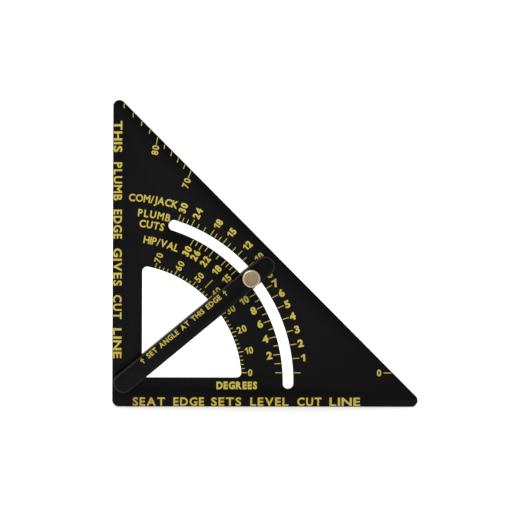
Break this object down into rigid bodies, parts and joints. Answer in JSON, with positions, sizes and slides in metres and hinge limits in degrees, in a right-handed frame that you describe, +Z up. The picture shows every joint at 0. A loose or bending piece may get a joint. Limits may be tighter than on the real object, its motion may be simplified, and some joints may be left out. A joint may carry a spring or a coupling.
{
  "type": "adjustable speed square",
  "caption": "Right-angled triangular layout plate with an arc slot and a swinging fence that sets a roof pitch and locks with a thumbscrew.",
  "frame": {"origin": "middle of the seat edge (the bottom edge), on the middle plane of the plate", "axes": "+X along the seat edge away from the heel, +Z up the plumb edge, -Y towards the reader of the printed face, +Y out of the back"},
  "size_m": [0.2032, 0.0232, 0.2032],
  "materials": {
    "black_coat": "satin black coat on aluminium, with yellow printed scales",
    "acetal": "natural acetal",
    "zinc_steel": "bright zinc plate",
    "nickel": "turned, warm satin nickel plate"
  },
  "bodies": {
    "square": {"square_plate": "black_coat", "pivot_bush": "acetal"},
    "fence": {"front_bar": "black_coat", "rear_bar": "black_coat", "front_pivot_washer": "acetal", "rear_pivot_washer": "acetal", "pivot_screw": "zinc_steel", "clamp_nut": "zinc_steel"},
    "captive_washer": {"thumbscrew_washer": "nickel"},
    "thumbscrew": {"thumbscrew": "nickel"}
  },
  "joints": [
    {"name": "fence_swing", "type": "hinge", "parent": "square", "child": "fence", "pos_m": [-0.0943, 0, 0.016], "axis": [0, -1, 0], "range_deg": [-40.2, 32.6]},
    {"name": "thumbscrew_lift", "type": "slide", "parent": "fence", "child": "captive_washer", "axis": [0, -1, 0], "range_m": [0, 0.001]},
    {"name": "thumbscrew_turn", "type": "hinge", "parent": "captive_washer", "child": "thumbscrew", "pos_m": [-0.01018, 0, 0.0861], "axis": [0, -1, 0], "range_deg": [0, 360]}
  ],
  "couplings": [
    {"joint": "thumbscrew_turn", "follows": "thumbscrew_lift", "rad_per_m": 6283.2}
  ]
}
